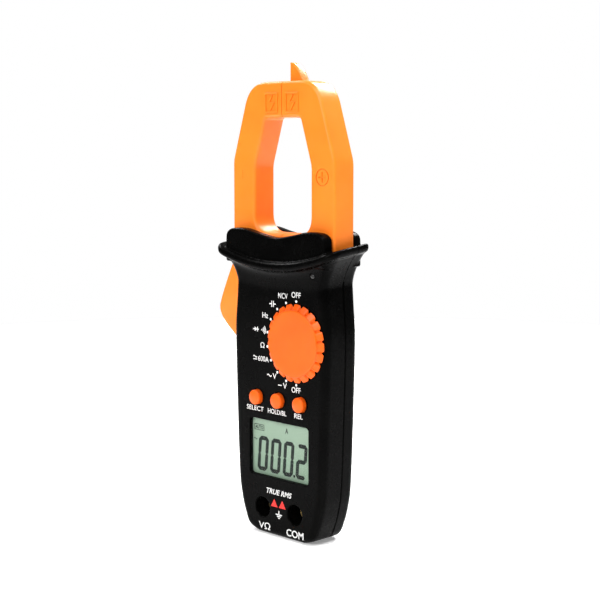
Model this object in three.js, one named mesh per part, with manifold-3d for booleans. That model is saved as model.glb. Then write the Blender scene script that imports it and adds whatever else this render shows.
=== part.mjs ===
// Hand-held clamp meter with a dial, three keys, two input sockets and a sprung jaw.
// Millimetres. +Z runs up the meter, X is its width and its face looks towards -Y.
// The origin is on the flat foot of the case, below the middle of the display.
import * as THREE from 'three';
import { mergeVertices } from 'three/addons/utils/BufferGeometryUtils.js';
import Module from 'manifold-3d';

const wasm = await Module();
wasm.setup();

// Case
const FACE = -9.5;            // y of the front face
const BACK = 9.5;             // y of the rear face
const PARTING = 2;            // y where the two shells meet
const WALL = 1.8;
const EDGE = 3;               // rounding of the long edges
const GAP = 0.3;              // play between pieces that touch
const CASE_PROFILE = [        // half width and height, from the foot up to the guard
  [13.5, 0], [19, 2.2], [21.8, 7.4], [23.9, 14.3], [25.4, 24], [26.5, 50], [27.4, 84],
  [26.6, 97], [25.7, 106], [26.3, 109.6], [27.7, 113], [29.6, 116], [31.4, 118.4],
];

// Finger guard: a lip that bows down in the middle, and a collar round the jaw root
const GUARD_HALF = 34.4;
const GUARD_FRONT = -14.5;
const GUARD_TOP = 116;        // top of the lip in the middle of its front edge
const GUARD_LIP = 3.3;        // height of the lip
const GUARD_SAG = 6.5;        // how far its ends stand above its middle
const GUARD_RISE = 0.12;      // how steeply it climbs towards the back
const GUARD_FOOT = 104;       // where the case starts to sweep forwards into the lip
const COLLAR_FRONT = -12.3;
const COLLAR_HALF = 29;

// Jaws: a six-sided ring, split at the middle
const JAW_FRONT = -7.2;
const JAW_BACK = 4.6;
const JAW_MIDDLE = (JAW_FRONT + JAW_BACK) / 2;
const JAW_HALF = 29.6;
const JAW_KINK = 157.3;       // height where the sides start to lean in
const JAW_TOP = 189.4;
const JAW_BOTTOM = 117.8;
const JAW_LEAN = 0.3134;      // how much the upper sides lean in, per unit of height
const JAW_BAND = 13.4;        // width of the ring at its sides
const OPENING_TOP = 174.8;
const OPENING_BOTTOM = 127.5;
const CORE_DEPTH = 6;
const CORE_COVER = 3.3;       // plastic over the core at the sides of the ring
const SENSOR_GAP = 2.2;       // half of the core is cut back this far for the sensor
const SLOT = 0.5;             // play between the jaws and the case, front and rear
const POCKET_FLOOR = 109;

// Moving jaw
const PIVOT = new THREE.Vector3(-20, JAW_MIDDLE, 119);
const PIN_RADIUS = 1.5;
const PIN_REACH = 3.8;        // how far a pin goes into the case, from the jaw's face
const JAW_OPEN = 24;          // degrees
const LEVER_DEPTH = 8;
const LEVER_PLAY = 0.6;
const LEVER_SLOT = [78.6, 117.6];

// Dial
const DIAL_X = 10.6;
const DIAL_Z = 83.5;
const DIAL_BASE = 16.2;       // radius at the case
const DIAL_FACE = 13.9;       // radius at the front
const DIAL_HEIGHT = 2.3;
const DIAL_FLUTES = 21;
const FLUTE = [1.2, 1];       // width and depth of a groove in the knob's side
const DIAL_HUB = 5.7;
const ROTOR_RADIUS = 12;
const DETENT_REACH = 8.5;     // from the dial's axis to its detent ball
const WIPERS = 3;

// Display and keys
const WINDOW_HALF = 17.3;
const WINDOW_LOW = 25.2;
const WINDOW_HIGH = 49.2;
const KEY_Z = 58.4;
const KEY_PITCH = 12.8;
const KEY_RADIUS = 3.15;
const KEY_PROUD = 2.2;

// Layers behind the face, each given by the y of its front and its rear
const GLASS = [-9.2, -8];
const PANEL = [-7.4, -5.7];
const GLOW = [-5.4, -4.9];
const BOARD = [-4.6, -3.4];

// Input sockets, at the usual spacing of 19 mm
const SOCKET_X = 9.5;
const SOCKET_Z = 11.6;
const SOCKET_WELL = 4.3;      // radius of the well round each contact tube
const SLEEVE_OUTER = 5.3;
const TUBE_FRONT = -3.6;      // y where the contact tube starts, down in its well
const TUBE_BORE = 2;          // for a 4 mm plug

// Two AAA cells, side by side behind the display
const CELL_RADIUS = 5.25;
const CELL_LENGTH = 44.5;
const CELL_X = 5.65;
const CELL_Y = 2.2;
const CELL_Z = 19.8;
const BAY_HALF = 11.3;
const BAY_LOW = 17.2;
const BAY_HIGH = 74;
const COVER_SCREW_Z = 70.6;

// Fasteners, seen from the front
const SCREWS = [[-18.5, 17.5], [18.5, 17.5], [-20.5, 69], [20, 102.5]];
const SCREW_SHANK = 1.1;
const SCREW_HEAD = 2.4;
const SCREW_SEAT = 6.7;       // y under the head
const SCREW_TIP = -4.2;
const BOSS = 2.9;

// Lamp that shows a live wire nearby
const LED = new THREE.Vector2(20.3, 111.7);
const LED_RADIUS = 1;
const LED_FRONT = -10.4;
const LED_REAR = -7.6;

// Materials --------------------------------------------------------------------------

const finish = (color, roughness, metalness = 0) =>
  new THREE.MeshStandardMaterial({ color, roughness, metalness });

const blackShell = () => finish(0x121212, 0.45);
const orangeShell = () => finish(0xff8a2a, 0.4);
const greenBoard = () => finish(0x1d5a36, 0.5);
const brass = () => finish(0xc9a24a, 0.3, 1);
const steel = () => finish(0xb9bcc0, 0.3, 1);
const ferrite = () => finish(0x4a4a4d, 0.6, 0.6);

// Solids -----------------------------------------------------------------------------

function solid(geometry) {
  const bare = geometry.clone();
  bare.deleteAttribute('normal');
  bare.deleteAttribute('uv');
  const welded = mergeVertices(bare, 1e-4);
  return new wasm.Manifold(new wasm.Mesh({
    numProp: 3,
    vertProperties: new Float32Array(welded.attributes.position.array),
    triVerts: new Uint32Array(welded.index.array),
  }));
}

function surface(body) {
  const mesh = body.getMesh();
  const geometry = new THREE.BufferGeometry();
  geometry.setAttribute('position', new THREE.BufferAttribute(mesh.vertProperties, 3));
  geometry.setIndex(new THREE.BufferAttribute(mesh.triVerts, 1));
  geometry.computeVertexNormals();
  return geometry;
}

const join = (first, ...others) => others.reduce((sum, next) => sum.add(next), first);
const cut = (first, ...others) => others.reduce((rest, next) => rest.subtract(next), first);

// An outline drawn in X and Z, made thick from y = front to y = rear.
function slab(outline, front, rear, bevel = 0, bevelSegments = 2) {
  const geometry = new THREE.ExtrudeGeometry(outline, {
    depth: rear - front - 2 * bevel,
    bevelEnabled: bevel > 0,
    bevelThickness: bevel,
    bevelSize: bevel,
    bevelOffset: -bevel,
    bevelSegments,
    curveSegments: 6,
  });
  geometry.rotateX(Math.PI / 2);
  geometry.translate(0, rear - bevel, 0);
  return solid(geometry);
}

function block(x0, x1, y0, y1, z0, z1) {
  const geometry = new THREE.BoxGeometry(x1 - x0, y1 - y0, z1 - z0);
  geometry.translate((x0 + x1) / 2, (y0 + y1) / 2, (z0 + z1) / 2);
  return solid(geometry);
}

// A round bar along Y.
function rod(x, z, radius, front, rear, sides = 20) {
  const geometry = new THREE.CylinderGeometry(radius, radius, rear - front, sides);
  geometry.translate(x, (front + rear) / 2, z);
  return solid(geometry);
}

// A turned piece along Y: the profile lists radius and y.
function turned(profile, x, z, sides = 24) {
  const points = profile.map(([radius, y]) => new THREE.Vector2(radius, y));
  const geometry = new THREE.LatheGeometry(points, sides);
  geometry.translate(x, 0, z);
  return solid(geometry);
}

// A closed outline through the points, each corner rounded by its own length.
function rounded(points, lengths) {
  const corners = points.map(([x, z]) => new THREE.Vector2(x, z));
  const shape = new THREE.Shape();
  corners.forEach((corner, index) => {
    const before = corners[(index + corners.length - 1) % corners.length];
    const after = corners[(index + 1) % corners.length];
    const length = Array.isArray(lengths) ? lengths[index] : lengths;
    const enter = before.clone().sub(corner).setLength(length).add(corner);
    const leave = after.clone().sub(corner).setLength(length).add(corner);
    if (index === 0) shape.moveTo(enter.x, enter.y);
    else shape.lineTo(enter.x, enter.y);
    if (length > 0) shape.quadraticCurveTo(corner.x, corner.y, leave.x, leave.y);
  });
  shape.closePath();
  return shape;
}

const rectangle = (x0, x1, z0, z1, round = 0) =>
  rounded([[x0, z0], [x1, z0], [x1, z1], [x0, z1]], round);

// Case -------------------------------------------------------------------------------

// The case seen from the front: its profile up to a height, then straight up.
function caseOutline(inset, curvedTo, top) {
  const half = CASE_PROFILE.filter(([, z]) => z <= curvedTo);
  const keys = half.map(([w, z]) => new THREE.Vector2(w - inset, Math.max(z, inset)));
  const right = new THREE.SplineCurve(keys).getPoints(30);
  right.push(new THREE.Vector2(right.at(-1).x, top));
  const left = right.map(({ x, y }) => new THREE.Vector2(-x, y)).reverse();
  return new THREE.Shape([...right, ...left]);
}

// Lifts a piece of the guard by its bow and its climb.
function bow(geometry) {
  const points = geometry.attributes.position;
  for (let index = 0; index < points.count; index += 1) {
    const sag = GUARD_SAG * (points.getX(index) / GUARD_HALF) ** 2;
    const climb = GUARD_RISE * (points.getY(index) - GUARD_FRONT);
    points.setZ(index, points.getZ(index) + sag + climb);
  }
  return geometry;
}

// The lip and the sweep below it: a section in Y and Z, drawn out along X and bowed.
function guardSweep() {
  const chamfer = 0.8;
  const section = new THREE.Shape();
  section.moveTo(BACK, GUARD_FOOT);
  section.lineTo(BACK, GUARD_TOP - chamfer);
  section.lineTo(BACK - chamfer, GUARD_TOP);
  section.lineTo(GUARD_FRONT + chamfer, GUARD_TOP);
  section.lineTo(GUARD_FRONT, GUARD_TOP - chamfer);
  section.lineTo(GUARD_FRONT, GUARD_TOP - GUARD_LIP);
  section.quadraticCurveTo(FACE, GUARD_TOP - GUARD_LIP - 0.8, FACE, GUARD_FOOT);
  section.closePath();
  const geometry = new THREE.ExtrudeGeometry(section, {
    depth: 2 * GUARD_HALF,
    steps: 14,
    bevelEnabled: false,
    curveSegments: 5,
  });
  const axes = new THREE.Matrix4().makeBasis(
    new THREE.Vector3(0, 1, 0),
    new THREE.Vector3(0, 0, 1),
    new THREE.Vector3(1, 0, 0),
  );
  geometry.applyMatrix4(axes);
  geometry.translate(-GUARD_HALF, 0, 0);
  return solid(bow(geometry));
}

// What the guard may fill, seen from the front.
function guardFront() {
  const flare = CASE_PROFILE.filter(([, z]) => z >= 97);
  const [, flareTop] = flare.at(-1);
  const right = [...flare, [GUARD_HALF, flareTop], [GUARD_HALF, 130]];
  const left = right.map(([x, z]) => [-x, z]).reverse();
  return slab(rounded([...right, ...left], 0), GUARD_FRONT - 1, BACK + 1);
}

// What it may fill, seen from above.
function guardPlan() {
  const corner = 4;
  const plan = rectangle(-GUARD_HALF, GUARD_HALF, GUARD_FRONT, BACK, corner);
  const geometry = new THREE.ExtrudeGeometry(plan, {
    depth: 40, bevelEnabled: false, curveSegments: 5,
  });
  geometry.translate(0, 0, 95);
  return solid(geometry);
}

// The raised lips in front of the jaw root and behind it.
function collar(front, rear) {
  const crest = [[COLLAR_HALF, 124.5], [28.3, 127.4], [25, 129.1], [18, 129.2], [10, 127.6]];
  const line = [
    ...crest, [0, 126.2], ...crest.map(([x, z]) => [-x, z]).reverse(),
  ].map(([x, z]) => new THREE.Vector2(x, z));
  const shape = new THREE.Shape();
  shape.moveTo(-COLLAR_HALF, 115);
  shape.lineTo(COLLAR_HALF, 115);
  new THREE.SplineCurve(line).getPoints(30).forEach(({ x, y }) => shape.lineTo(x, y));
  shape.closePath();
  return slab(shape, front, rear, 0.8, 1);
}

// Room for the jaw roots, open at the top.
function jawPocket() {
  const half = [[24, POCKET_FLOOR], [26, 113.5], [28, 116.3], [29.9, 118.6], [29.9, 140]];
  const outline = [...half, ...half.map(([x, z]) => [-x, z]).reverse()];
  return slab(rounded(outline, 0), JAW_FRONT - SLOT, JAW_BACK + SLOT);
}

function turnedAboutPivot(body, degrees) {
  return body
    .translate([-PIVOT.x, -PIVOT.y, -PIVOT.z])
    .rotate([0, -degrees, 0])
    .translate([PIVOT.x, PIVOT.y, PIVOT.z]);
}

// Room for the moving jaw's side as it swings out.
function swingRoom() {
  const half = slab(jawLoop(-SLOT), JAW_FRONT - SLOT, JAW_BACK + SLOT)
    .intersect(block(-60, -2, -20, 20, 100, 140));
  const steps = [0.25, 0.5, 0.75, 1].map((part) => part * JAW_OPEN);
  return join(...steps.map((angle) => turnedAboutPivot(half, angle)));
}

function caseSolid() {
  const guard = guardSweep().intersect(guardFront()).intersect(guardPlan());
  const shell = slab(caseOutline(0, 106, 130), FACE, BACK, EDGE, 3)
    .intersect(block(-60, 60, -40, 40, -5, POCKET_FLOOR));
  const outside = join(
    shell, guard,
    collar(COLLAR_FRONT, JAW_FRONT - 0.1), collar(JAW_BACK + 0.1, BACK),
  );
  const cavity = slab(caseOutline(WALL, 106, POCKET_FLOOR + 1), FACE + WALL, BACK - WALL);
  const slotHalf = LEVER_DEPTH / 2 + LEVER_PLAY;
  const leverSlot = block(-45, -20, PIVOT.y - slotHalf, PIVOT.y + slotHalf, ...LEVER_SLOT);
  const pins = rod(
    PIVOT.x, PIVOT.z, PIN_RADIUS + GAP, JAW_FRONT - PIN_REACH - GAP, JAW_BACK + PIN_REACH, 16,
  );
  return cut(outside, cavity, jawPocket(), swingRoom(), leverSlot, pins);
}

function bosses(front, rear) {
  return SCREWS.map(([x, z]) => rod(x, z, BOSS, front, rear, 16));
}

function frontCase(whole) {
  const half = whole.intersect(block(-60, 60, -40, PARTING - GAP / 2, -5, 150));
  const pilots = SCREWS.map(([x, z]) =>
    rod(x, z, SCREW_SHANK + GAP, SCREW_TIP - 1.3, PARTING + 1, 12));
  const keyHoles = [-1, 0, 1].map((side) =>
    rod(side * KEY_PITCH, KEY_Z, KEY_RADIUS + GAP, FACE - 1, FACE + WALL + 1, 24));
  const wells = [-1, 1].map((side) =>
    rod(side * SOCKET_X, SOCKET_Z, SOCKET_WELL, FACE - 1, FACE + WALL + 1, 24));
  const view = rectangle(-WINDOW_HALF, WINDOW_HALF, WINDOW_LOW, WINDOW_HIGH, 1.2);
  return cut(
    join(half, ...bosses(FACE + WALL - 0.2, PARTING - GAP / 2)),
    ...pilots, ...keyHoles, ...wells,
    slab(view, FACE - 1, FACE + WALL + 1),
    rod(DIAL_X, DIAL_Z, DIAL_HUB + GAP + 0.1, FACE - 1, FACE + WALL + 1, 24),
    rod(LED.x, LED.y, LED_RADIUS + GAP, -20, -7, 16),
  );
}

function rearCase(whole) {
  const half = whole.intersect(block(-60, 60, PARTING + GAP / 2, 40, -5, 150));
  const heads = SCREWS.map(([x, z]) =>
    rod(x, z, SCREW_HEAD + GAP, SCREW_SEAT - GAP, BACK + 1, 16));
  const holes = SCREWS.map(([x, z]) => rod(x, z, SCREW_SHANK + GAP, 0, BACK, 12));
  const [floor, top] = [BACK - WALL, BAY_HIGH + 1];
  const reach = BAY_HALF + 0.2;
  const ribs = [-1, 1].map((side) => {
    const [low, high] = [side * BAY_HALF, side * (BAY_HALF + 1.2)].sort((a, b) => a - b);
    return block(low, high, -2.4, floor + 0.2, BAY_LOW, top);
  });
  const bridge = block(-reach, reach, PARTING + GAP / 2, floor - GAP, COVER_SCREW_Z - 2.2, top);
  const coverSill = block(-reach, reach, floor - 1, floor + 0.2, BAY_HIGH + 0.2, top);
  return cut(
    join(half, ...bosses(PARTING + GAP / 2, floor + 0.2), ...ribs, bridge, coverSill),
    ...heads, ...holes,
    block(-BAY_HALF, BAY_HALF, floor - GAP, BACK + 1, BAY_LOW, BAY_HIGH),
    rod(0, COVER_SCREW_Z, SCREW_SHANK + GAP, 2.8, BACK, 12),
  );
}

function batteryCover() {
  const plate = slab(
    rectangle(-BAY_HALF + GAP, BAY_HALF - GAP, BAY_LOW + GAP, BAY_HIGH - GAP, 1),
    BACK - WALL, BACK,
  );
  const [gripLow, gripWidth] = [24, 1.2];
  const grips = [0, 1, 2].map((row) => gripLow + row * 2 * gripWidth)
    .map((low) => block(-5, 5, BACK - 0.6, BACK + 1, low, low + gripWidth));
  return cut(
    plate, ...grips,
    rod(0, COVER_SCREW_Z, SCREW_SHANK + GAP, 0, BACK + 1, 12),
    rod(0, COVER_SCREW_Z, SCREW_HEAD + GAP, BACK - 1.2, BACK + 1, 16),
  );
}

// A screw driven from the rear, with a cross slot.
function screw(x, z, headFront, headRear, tip) {
  const body = turned([
    [0, tip], [SCREW_SHANK * 0.5, tip], [SCREW_SHANK, tip + 1.2], [SCREW_SHANK, headFront],
    [SCREW_HEAD, headFront], [SCREW_HEAD, headRear - 0.3], [SCREW_HEAD - 0.4, headRear],
    [0, headRear],
  ], x, z, 14);
  const slotHalf = 0.3;
  const slotReach = 1.3;
  return cut(
    body,
    block(x - slotReach, x + slotReach, headRear - 0.7, headRear + 1, z - slotHalf, z + slotHalf),
    block(x - slotHalf, x + slotHalf, headRear - 0.7, headRear + 1, z - slotReach, z + slotReach),
  );
}

// Jaws -------------------------------------------------------------------------------

// The six-sided loop of the jaws, drawn in from their outer surface by an inset.
function jawLoop(inset, top = JAW_TOP - inset, bottom = JAW_BOTTOM + inset, round = 9.5) {
  const half = JAW_HALF - inset;
  const kink = JAW_KINK - inset * Math.tan(Math.atan(JAW_LEAN) / 2);
  const shoulder = half - (top - kink) * JAW_LEAN;
  const root = inset > 10 ? 8 : 6;
  return rounded([
    [-half, bottom], [half, bottom], [half, kink],
    [shoulder, top], [-shoulder, top], [-half, kink],
  ], [root, root, 2, round, round, 2]);
}

function jawRing() {
  const outside = slab(jawLoop(0), JAW_FRONT, JAW_BACK, 0.8, 2);
  const opening = slab(
    jawLoop(JAW_BAND, OPENING_TOP, OPENING_BOTTOM, 1.5), JAW_FRONT - 1, JAW_BACK + 1,
  );
  return cut(outside, opening);
}

// The magnetic core, or with play > 0 the tunnel that it lies in.
function coreRing(play) {
  const depth = CORE_DEPTH / 2 + play;
  const outer = jawLoop(CORE_COVER - play, JAW_TOP - CORE_COVER + play, 119.7 - play, 7);
  const inner = jawLoop(
    JAW_BAND - CORE_COVER + play, OPENING_TOP + CORE_COVER - play,
    OPENING_BOTTOM - 1.7 + play, 3,
  );
  return cut(
    slab(outer, JAW_MIDDLE - depth, JAW_MIDDLE + depth),
    slab(inner, JAW_MIDDLE - depth - 1, JAW_MIDDLE + depth + 1),
  );
}

// The half of a body on one side of the seam, stopping short of it.
function halfOf(body, side, from) {
  const [low, high] = side > 0 ? [from, 60] : [-60, -from];
  return body.intersect(block(low, high, -30, 30, 90, 210));
}

function fixedJaw() {
  const foot = slab(rounded([
    [3, 110], [17, 110], [17, 114.5], [26, 115.2], [27.6, 116.8], [28, 122], [3, 122],
  ], 0.6), JAW_FRONT + 0.8, JAW_BACK - 0.8);
  const finShape = new THREE.Shape();
  finShape.moveTo(0.9, 186);
  finShape.lineTo(8.4, 186);
  finShape.lineTo(8.4, JAW_TOP);
  finShape.quadraticCurveTo(6.6, 194.4, 0.9, 197);
  finShape.closePath();
  const fin = slab(finShape, JAW_MIDDLE - 2, JAW_MIDDLE + 2, 0.4, 1);
  const leadSlot = block(0, 2.4, JAW_MIDDLE - 1.6, JAW_MIDDLE + 1.6, 116, 121);
  return cut(join(halfOf(jawRing(), 1, GAP / 2), foot, fin), coreRing(0.35), leadSlot);
}

function movingJaw() {
  const bearings = [[JAW_FRONT - 1, JAW_FRONT + 2.2], [JAW_BACK - 2.2, JAW_BACK + 1]]
    .map(([front, rear]) => rod(PIVOT.x, PIVOT.z, PIN_RADIUS + GAP, front, rear, 16));
  const trunk = slab(rectangle(-23.5, -16.5, 116.9, 121, 1), JAW_FRONT, JAW_BACK);
  return cut(join(halfOf(jawRing(), -1, GAP / 2), trunk), coreRing(0.35), ...bearings);
}

function triggerLever() {
  const outer = [
    [-31.2, 115.6], [-33.4, 112], [-37.1, 104.4], [-40, 97.6], [-41, 93.6], [-39.6, 90],
    [-36.6, 86.8], [-31.6, 82.8], [-28, 80.2],
  ].map(([x, z]) => new THREE.Vector2(x, z));
  const shape = new THREE.Shape();
  shape.moveTo(-27, 116.4);
  new THREE.SplineCurve(outer).getPoints(20).forEach(({ x, y }) => shape.lineTo(x, y));
  shape.quadraticCurveTo(-25, 79, -24.4, 85);
  shape.quadraticCurveTo(-23.4, 104, -13.5, 111.5);
  shape.lineTo(-13.5, 116.4);
  shape.closePath();
  const depth = LEVER_DEPTH / 2;
  return slab(shape, PIVOT.y - depth, PIVOT.y + depth, 0.9, 1);
}

function pivotPin(front, rear) {
  return rod(PIVOT.x, PIVOT.z, PIN_RADIUS, front, rear, 16);
}

// A wound wire spring along a path of turns.
function spring(radius, wire, from, to, turns, place) {
  const steps = turns * 10;
  const points = [];
  for (let step = 0; step <= steps; step += 1) {
    const angle = (step / steps) * turns * Math.PI * 2;
    const along = from + (to - from) * (step / steps);
    points.push(place(radius * Math.cos(angle), radius * Math.sin(angle), along));
  }
  const section = new THREE.Shape();
  section.absellipse(0, 0, wire / 2, wire / 2, 0, Math.PI * 2);
  const geometry = new THREE.ExtrudeGeometry(section, {
    steps,
    curveSegments: 3,
    extrudePath: new THREE.CatmullRomCurve3(points),
  });
  return solid(geometry);
}

// Dial, keys and display -------------------------------------------------------------

// One groove, square across the side of the knob.
function flute(angle) {
  const [width, depth] = FLUTE;
  const geometry = new THREE.BoxGeometry(2 * depth, 2 * DIAL_HEIGHT, width);
  geometry.translate(DIAL_BASE, 0, 0);
  geometry.rotateY(angle);
  geometry.translate(DIAL_X, FACE - GAP - DIAL_HEIGHT / 2, DIAL_Z);
  return solid(geometry);
}

function rotaryKnob() {
  const base = FACE - GAP;
  const front = base - DIAL_HEIGHT;
  const lip = 0.4;
  const grip = turned([
    [0, front], [DIAL_FACE - lip, front], [DIAL_FACE, front + lip], [DIAL_BASE, base - lip],
    [DIAL_BASE, base], [0, base],
  ], DIAL_X, DIAL_Z, 64);
  const angles = Array.from({ length: DIAL_FLUTES }, (_, index) =>
    (index / DIAL_FLUTES) * 2 * Math.PI);
  const hub = rod(DIAL_X, DIAL_Z, DIAL_HUB, base - 1, FACE + WALL + 0.8, 24);
  return join(cut(grip, ...angles.map(flute)), hub);
}

function dialRotor() {
  const disc = rod(DIAL_X, DIAL_Z, ROTOR_RADIUS, -6.6, -5.3, 28);
  const pocket = rod(DIAL_X, DIAL_Z + DETENT_REACH, 1.4, -7, -5.8, 12);
  return cut(disc, pocket);
}

function detentBall() {
  const geometry = new THREE.SphereGeometry(0.75, 10, 8);
  geometry.translate(DIAL_X, -6.75, DIAL_Z + DETENT_REACH);
  return solid(geometry);
}

function wiper(angle) {
  const geometry = new THREE.BoxGeometry(3, 0.25, 6);
  geometry.translate(0, -4.87, 7);
  geometry.rotateY(angle);
  geometry.translate(DIAL_X, 0, DIAL_Z);
  return solid(geometry);
}

// A key cap, kept in the case by the flange at its rear.
function keyCap(side) {
  const front = FACE - KEY_PROUD;
  const [flangeFront, rear] = [-7.4, -6.8];
  const flange = KEY_RADIUS + 0.7;
  return turned([
    [0, front], [KEY_RADIUS - 0.7, front], [KEY_RADIUS, front + 0.7],
    [KEY_RADIUS, flangeFront], [flange, flangeFront], [flange, rear], [0, rear],
  ], side * KEY_PITCH, KEY_Z, 24);
}

function keypad() {
  const mat = slab(rectangle(-18, 18, KEY_Z - 5, KEY_Z + 5, 1.5), -5.7, -4.9);
  const domes = [-1, 0, 1].map((side) => rod(side * KEY_PITCH, KEY_Z, 2.4, -6.1, -5.6, 16));
  return join(mat, ...domes);
}

const displayPlate = (margin, [front, rear], round) => slab(
  rectangle(
    -WINDOW_HALF - margin, WINDOW_HALF + margin, WINDOW_LOW - margin, WINDOW_HIGH + margin, round,
  ), front, rear,
);

function displayFrame() {
  return cut(displayPlate(3.4, [-7.4, -4.9], 1), displayPlate(2.1, [-8, -4], 0.5));
}

function mainBoard() {
  const sheet = slab(caseOutline(WALL + 0.7, 106, 107), ...BOARD);
  const bossHoles = SCREWS.map(([x, z]) => rod(x, z, BOSS + GAP, BOARD[0] - 1, BOARD[1] + 1, 16));
  const socketHoles = [-1, 1].map((side) =>
    rod(side * SOCKET_X, SOCKET_Z, SLEEVE_OUTER + 0.4, BOARD[0] - 1, BOARD[1] + 1, 20));
  return cut(
    sheet, ...bossHoles, ...socketHoles,
    block(-40, -8.2, -10, 0, 76.5, 130),
    block(-40, 40, -10, 0, -5, 4),
  );
}

// Sockets ----------------------------------------------------------------------------

function socketSleeve(side) {
  return turned([
    [SOCKET_WELL, -7.4], [SLEEVE_OUTER, -7.4], [SLEEVE_OUTER, 5.8], [3, 5.8], [3, 4.6],
    [SOCKET_WELL, 4.6], [SOCKET_WELL, -7.4],
  ], side * SOCKET_X, SOCKET_Z, 24);
}

function contactTube(side) {
  return turned([
    [0, 5.4], [TUBE_BORE, 5.4], [TUBE_BORE, TUBE_FRONT], [2.6, TUBE_FRONT], [2.6, 6.2],
    [3.6, 6.2], [3.6, 7.2], [0, 7.2],
  ], side * SOCKET_X, SOCKET_Z, 20);
}

// Power and sensing ------------------------------------------------------------------

function cell(side) {
  const nub = 1.2;
  const nubRadius = 1.9;
  const top = CELL_Z + CELL_LENGTH;
  const upright = [
    [0, CELL_Z], [CELL_RADIUS, CELL_Z], [CELL_RADIUS, top - nub], [nubRadius, top - nub],
    [nubRadius, top], [0, top],
  ];
  const flipped = upright.map(([radius, z]) => [radius, CELL_Z + top - z]).reverse();
  const points = (side > 0 ? upright : flipped).map(([radius, z]) => new THREE.Vector2(radius, z));
  const geometry = new THREE.LatheGeometry(points, 20);
  geometry.rotateX(Math.PI / 2);
  geometry.translate(side * CELL_X, CELL_Y, 0);
  return solid(geometry);
}

function cellSpring(side) {
  const top = CELL_Z + CELL_LENGTH;
  return spring(3, 0.7, top + 0.8, top + 2.8, 2.5, (across, deep, along) =>
    new THREE.Vector3(side * CELL_X + across, CELL_Y + deep, along));
}

function cellPlate(side) {
  const low = CELL_Z + CELL_LENGTH + 3.4;
  return block(side * CELL_X - 4.2, side * CELL_X + 4.2, -1.8, 6.2, low, low + 0.4);
}

const cellBridge = () => block(-10.6, 10.6, -1.8, 6.2, 18.2, 18.8);

// Pushes the lever outwards: it lies across the case, between lever and board.
function triggerSpring() {
  return spring(2.4, 0.6, -21.8, -9.5, 5, (across, deep, along) =>
    new THREE.Vector3(along, PIVOT.y + deep, 95 + across));
}

// Half of the core. The fixed half stops short of the seam at the root, for the sensor.
function halfCore(side) {
  const half = halfOf(coreRing(0), side, GAP);
  if (side < 0) return half;
  return cut(half, block(0, SENSOR_GAP, -30, 30, 110, 140));
}

const hallSensor = () =>
  block(0.5, SENSOR_GAP - GAP, JAW_MIDDLE - 2, JAW_MIDDLE + 2, 120.8, 124.8);

function sensorLead() {
  const path = new THREE.CatmullRomCurve3([
    new THREE.Vector3(1.2, JAW_MIDDLE, 120.3),
    new THREE.Vector3(1.2, JAW_MIDDLE, 114),
    new THREE.Vector3(0.4, JAW_MIDDLE - 1.2, 110),
    new THREE.Vector3(0, BOARD[1] + 2, 107),
    new THREE.Vector3(0, BOARD[1] + 1.8, 102),
  ]);
  const ribbon = rectangle(-0.4, 0.4, -1.2, 1.2);
  return solid(new THREE.ExtrudeGeometry(ribbon, { steps: 14, extrudePath: path }));
}

function ncvLed() {
  return turned([
    [0, LED_FRONT], [0.6 * LED_RADIUS, LED_FRONT + 0.1], [LED_RADIUS, LED_FRONT + 0.5],
    [LED_RADIUS, LED_REAR], [0, LED_REAR],
  ], LED.x, LED.y, 16);
}

// Assembly ---------------------------------------------------------------------------

const meter = new THREE.Group();

function add(name, body, material) {
  const mesh = new THREE.Mesh(surface(body), material);
  mesh.name = name;
  meter.add(mesh);
}

const whole = caseSolid();
add('front_case', frontCase(whole), blackShell());
add('rear_case', rearCase(whole), blackShell());
add('battery_cover', batteryCover(), blackShell());
add('battery_cover_screw', screw(0, COVER_SCREW_Z, 8.6, 9.4, 3.8), steel());
SCREWS.forEach(([x, z], index) => {
  add(`case_screw_${index + 1}`, screw(x, z, SCREW_SEAT, SCREW_SEAT + 2, SCREW_TIP), steel());
});

add('fixed_jaw', fixedJaw(), orangeShell());
add('moving_jaw', movingJaw(), orangeShell());
add('trigger_lever', triggerLever(), orangeShell());
add('fixed_core', halfCore(1), ferrite());
add('moving_core', halfCore(-1), ferrite());
add('hall_sensor', hallSensor(), finish(0x1b1b1e, 0.4));
add('sensor_lead', sensorLead(), finish(0xb8b8b0, 0.6));
add('pivot_pin_front', pivotPin(JAW_FRONT - PIN_REACH, JAW_FRONT + 1.9), steel());
add('pivot_pin_rear', pivotPin(JAW_BACK - 1.9, JAW_BACK + PIN_REACH - GAP), steel());
add('trigger_spring', triggerSpring(), steel());
add('ncv_led', ncvLed(), finish(0xd8d8d0, 0.3));

add('rotary_knob', rotaryKnob(), orangeShell());
add('dial_rotor', dialRotor(), finish(0xe6e2d8, 0.5));
add('detent_ball', detentBall(), steel());
for (let index = 0; index < WIPERS; index += 1) {
  add(`dial_wiper_${index + 1}`, wiper((index / WIPERS) * 2 * Math.PI), brass());
}

add('select_button', keyCap(-1), orangeShell());
add('hold_button', keyCap(0), orangeShell());
add('relative_button', keyCap(1), orangeShell());
add('keypad_membrane', keypad(), finish(0x8c8c88, 0.8));

add('display_window', displayPlate(-GAP, GLASS, 1), finish(0xdfe8e0, 0.1));
add('display_panel', displayPlate(1.8, PANEL, 0.4), finish(0x9fb39c, 0.3));
add('backlight_sheet', displayPlate(0.2, GLOW, 0.4), finish(0xf2f2ec, 0.5));
add('contact_strip', block(-17, 17, -5.4, -4.9, 23.5, 24.6), finish(0x3a3a3c, 0.8));
add('display_frame', displayFrame(), finish(0x2a2a2a, 0.6));

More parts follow.
